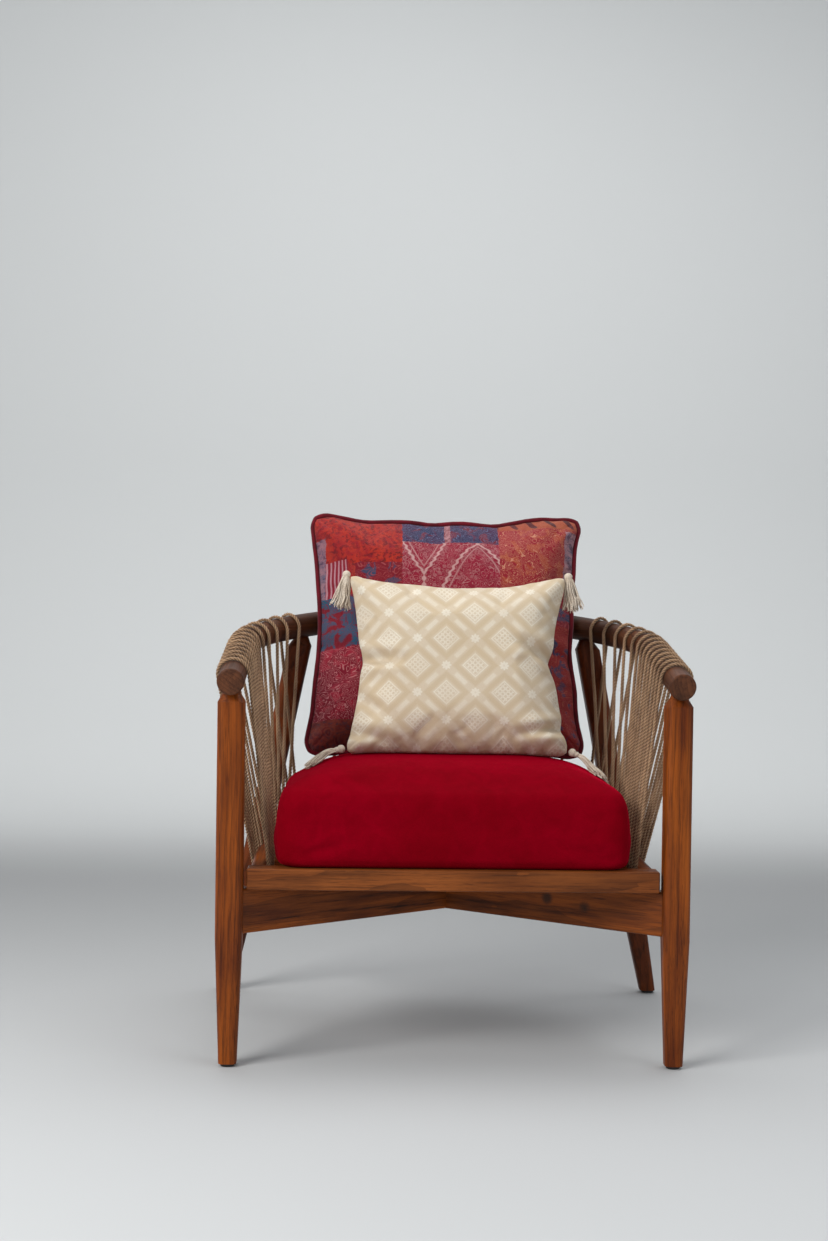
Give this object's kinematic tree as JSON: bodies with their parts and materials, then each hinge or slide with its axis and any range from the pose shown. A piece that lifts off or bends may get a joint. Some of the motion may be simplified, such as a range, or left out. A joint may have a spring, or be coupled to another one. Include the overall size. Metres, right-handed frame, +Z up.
{
  "type": "woven armchair",
  "caption": "Round-railed hardwood armchair with cord-laced sides and back, a crossed brace, a box seat cushion and two loose back cushions.",
  "frame": {"origin": "on the floor, below the centre of the chair's overall box", "axes": "+X to the right seen from in front, +Y from the front to the back, +Z up"},
  "size_m": [0.806, 0.5912, 0.8807],
  "materials": {
    "hardwood": "oiled",
    "cord": "twisted natural cord",
    "velvet": "velvet",
    "patchwork": "printed woven cotton",
    "piping": "covered cord",
    "lattice_cotton": "woven cotton",
    "tassel_yarn": "cotton yarn",
    "glide": "dark",
    "screw_steel": "plain"
  },
  "bodies": {
    "frame": {"back_leg_left": "hardwood", "back_leg_right": "hardwood", "cross_brace_left": "hardwood", "cross_brace_right": "hardwood", "foot_glide_back_left": "glide", "foot_glide_back_right": "glide", "foot_glide_front_left": "glide", "foot_glide_front_right": "glide", "front_leg_left": "hardwood", "front_leg_right": "hardwood", "lacing_back": "cord", "lacing_left": "cord", "lacing_right": "cord", "rail_back": "hardwood", "rail_dowel_left": "hardwood", "rail_dowel_right": "hardwood", "rail_left_arm": "hardwood", "rail_right_arm": "hardwood", "seat_back_rail": "hardwood", "seat_bearer_left": "hardwood", "seat_bearer_right": "hardwood", "seat_frame_dowels": "hardwood", "seat_front_board": "hardwood", "seat_screws": "screw_steel", "seat_side_rail_left": "hardwood", "seat_side_rail_right": "hardwood", "seat_slat_1": "hardwood", "seat_slat_2": "hardwood", "seat_slat_3": "hardwood", "seat_slat_4": "hardwood", "seat_slat_5": "hardwood"},
    "seat_cushion": {"seat_cushion": "velvet"},
    "back_cushion": {"back_cushion": "patchwork", "back_cushion_piping": "piping"},
    "small_cushion": {"small_cushion": "lattice_cotton", "tassel_bottom_left": "tassel_yarn", "tassel_bottom_right": "tassel_yarn", "tassel_top_left": "tassel_yarn", "tassel_top_right": "tassel_yarn"}
  },
  "joints": [
    {"name": "seat_cushion_lift", "type": "slide", "parent": "frame", "child": "seat_cushion", "axis": [0, 0, 1], "range_m": [0, 0.25]},
    {"name": "back_cushion_lift", "type": "slide", "parent": "seat_cushion", "child": "back_cushion", "axis": [0, -0.2588, 0.9659], "range_m": [0, 0.25]},
    {"name": "small_cushion_lift", "type": "slide", "parent": "back_cushion", "child": "small_cushion", "axis": [0, -0.5, 0.866], "range_m": [0, 0.25]}
  ]
}
